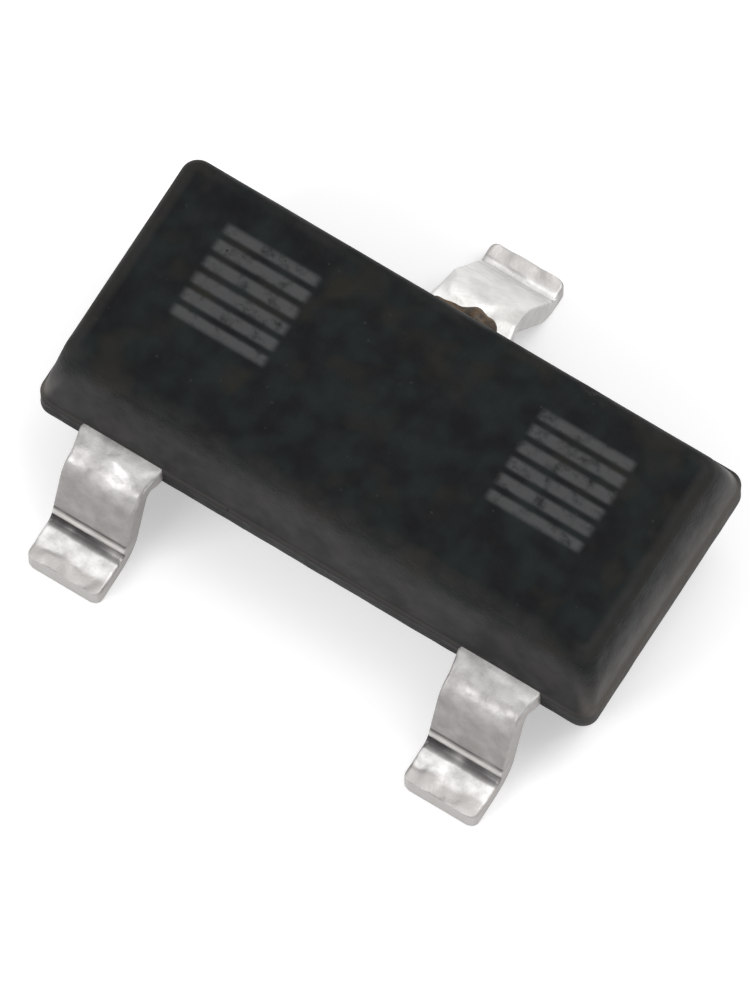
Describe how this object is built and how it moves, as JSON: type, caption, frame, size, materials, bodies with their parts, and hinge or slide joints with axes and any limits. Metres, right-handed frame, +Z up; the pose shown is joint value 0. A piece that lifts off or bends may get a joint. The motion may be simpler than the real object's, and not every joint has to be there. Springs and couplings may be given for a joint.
{
  "type": "sot-23 transistor",
  "caption": "Surface-mount transistor: a drafted black epoxy body on bright gull-wing leads, with the lead frame, die and bond wires sealed inside.",
  "frame": {"origin": "centre of the footprint, on the board under the feet", "axes": "+X along the body, +Y towards the side with the single lead, +Z up from the board"},
  "size_m": [0.0028, 0.0022, 0.001],
  "materials": {
    "epoxy": "matt moulded epoxy with fine mineral grain",
    "tinned_lead": "satin tin plating on formed copper alloy",
    "silicon": "polished silicon, opaque",
    "die_bond": "silver-filled bonding resin",
    "bond_wire": "bright drawn gold"
  },
  "bodies": {
    "root": {"moulded_body": "epoxy", "collector_lead": "tinned_lead", "base_lead": "tinned_lead", "emitter_lead": "tinned_lead", "silicon_die": "silicon", "die_attach": "die_bond", "base_wire": "bond_wire", "emitter_wire": "bond_wire"}
  },
  "joints": []
}
